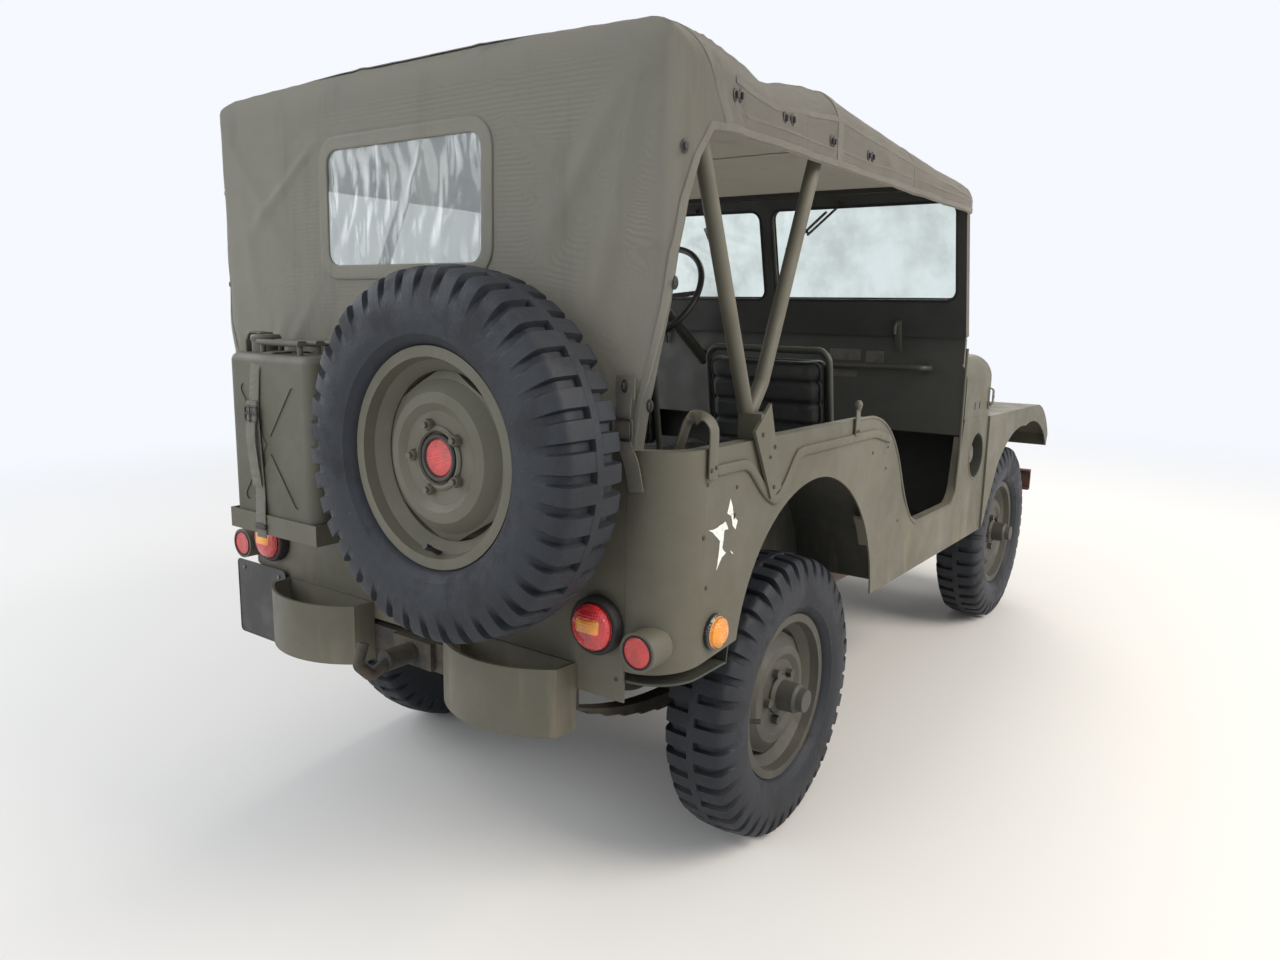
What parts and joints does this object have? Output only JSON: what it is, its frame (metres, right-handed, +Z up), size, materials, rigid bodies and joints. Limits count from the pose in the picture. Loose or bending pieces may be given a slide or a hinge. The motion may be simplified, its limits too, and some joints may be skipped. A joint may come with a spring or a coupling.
{
  "type": "army four-wheel-drive utility car",
  "caption": "Open army 4x4 utility car with canvas top, steering front wheels, opening hood, rear spare wheel and fuel can.",
  "frame": {"origin": "on the ground under the middle of the car's box", "axes": "+X forward, +Y to the car's left, +Z up"},
  "size_m": [3.627, 1.5886, 1.9888],
  "materials": {
    "olive_paint": "matt",
    "chassis_paint": "matt",
    "engine_paint": "satin",
    "rusty_paint": "matt",
    "tyre_rubber": "matt",
    "seat_vinyl": "satin",
    "canvas": "matt",
    "glass": "clear",
    "clear_vinyl": "clear",
    "red_lens": "gloss",
    "amber_lens": "gloss",
    "black_plastic": "satin"
  },
  "bodies": {
    "car": {"body_floor": "olive_paint", "body_sides": "olive_paint", "bumperettes": "olive_paint", "canvas_top": "canvas", "chassis_frame": "chassis_paint", "cowl": "olive_paint", "driver_seat_cushions": "seat_vinyl", "driver_seat_frame": "olive_paint", "engine": "engine_paint", "exhaust": "chassis_paint", "fenders": "olive_paint", "front_axle": "chassis_paint", "front_bumper": "rusty_paint", "gearbox": "chassis_paint", "grille": "olive_paint", "headlamps": "olive_paint", "jerrycan": "olive_paint", "jerrycan_carrier": "olive_paint", "leaf_springs": "chassis_paint", "pintle_hook": "olive_paint", "propeller_shafts": "chassis_paint", "radiator": "engine_paint", "rear_axle": "chassis_paint", "rear_bench_cushions": "seat_vinyl", "rear_bench_frame": "olive_paint", "rear_panel": "olive_paint", "rear_reflectors": "red_lens", "rear_window": "clear_vinyl", "shock_absorbers": "chassis_paint", "side_lamps": "amber_lens", "spare_carrier": "olive_paint", "spare_tyre": "tyre_rubber", "spare_wheel": "olive_paint", "steering_column": "olive_paint", "tail_lamps": "red_lens", "top_bows": "olive_paint", "wheelhouses": "olive_paint", "windshield_frame": "olive_paint", "windshield_glass": "glass"},
    "wheel_assembly_rear_left": {"tyre_rear_left": "tyre_rubber", "wheel_rear_left": "olive_paint", "hub_rear_left": "olive_paint"},
    "wheel_assembly_rear_right": {"tyre_rear_right": "tyre_rubber", "wheel_rear_right": "olive_paint", "hub_rear_right": "olive_paint"},
    "wheel_assembly_front_left": {"tyre_front_left": "tyre_rubber", "wheel_front_left": "olive_paint", "hub_front_left": "olive_paint"},
    "wheel_assembly_front_right": {"tyre_front_right": "tyre_rubber", "wheel_front_right": "olive_paint", "hub_front_right": "olive_paint"},
    "knuckle_body_left": {"knuckle_left": "chassis_paint"},
    "knuckle_body_right": {"knuckle_right": "chassis_paint"},
    "tie_rod_body": {"tie_rod": "chassis_paint"},
    "steering_wheel_body": {"steering_wheel": "black_plastic"},
    "hood_body": {"hood": "olive_paint"},
    "passenger_seat_body": {"passenger_seat_frame": "olive_paint", "passenger_seat_cushions": "seat_vinyl"}
  },
  "joints": [
    {"name": "roll_rear_left", "type": "hinge", "parent": "car", "child": "wheel_assembly_rear_left", "pos_m": [-0.87486, 0.624, 0.385], "axis": [0, 1, 0], "continuous": true},
    {"name": "roll_rear_right", "type": "hinge", "parent": "car", "child": "wheel_assembly_rear_right", "pos_m": [-0.87486, -0.624, 0.385], "axis": [0, 1, 0], "continuous": true},
    {"name": "roll_front_left", "type": "hinge", "parent": "knuckle_body_left", "child": "wheel_assembly_front_left", "pos_m": [1.18215, 0.624, 0.385], "axis": [0, 1, 0], "continuous": true},
    {"name": "roll_front_right", "type": "hinge", "parent": "knuckle_body_right", "child": "wheel_assembly_front_right", "pos_m": [1.18215, -0.624, 0.385], "axis": [0, 1, 0], "continuous": true},
    {"name": "steer_left", "type": "hinge", "parent": "car", "child": "knuckle_body_left", "pos_m": [1.18215, 0.505, 0.385], "axis": [0, 0, 1], "range_deg": [-26, 26]},
    {"name": "steer_right", "type": "hinge", "parent": "car", "child": "knuckle_body_right", "pos_m": [1.18215, -0.505, 0.385], "axis": [0, 0, 1], "range_deg": [-26, 26]},
    {"name": "tie_rod_end", "type": "hinge", "parent": "knuckle_body_left", "child": "tie_rod_body", "pos_m": [1.33214, 0.505, 0.429], "axis": [0, 0, 1], "range_deg": [-26, 26]},
    {"name": "steering_wheel_turn", "type": "hinge", "parent": "car", "child": "steering_wheel_body", "pos_m": [-0.01753, 0.355, 1.44134], "axis": [0.7959, -0.0397, -0.6041], "range_deg": [-468, 468]},
    {"name": "hood_hinge", "type": "hinge", "parent": "car", "child": "hood_body", "pos_m": [0.64981, 0, 1.27407], "axis": [0, -1, 0], "range_deg": [0, 105]},
    {"name": "passenger_seat_tilt", "type": "hinge", "parent": "car", "child": "passenger_seat_body", "pos_m": [0.06455, -0.33, 0.61598], "axis": [0, 1, 0], "range_deg": [0, 40]}
  ],
  "couplings": [
    {"joint": "steer_right", "follows": "steer_left", "ratio": 1},
    {"joint": "tie_rod_end", "follows": "steer_left", "ratio": -1},
    {"joint": "steering_wheel_turn", "follows": "steer_left", "ratio": -18}
  ]
}
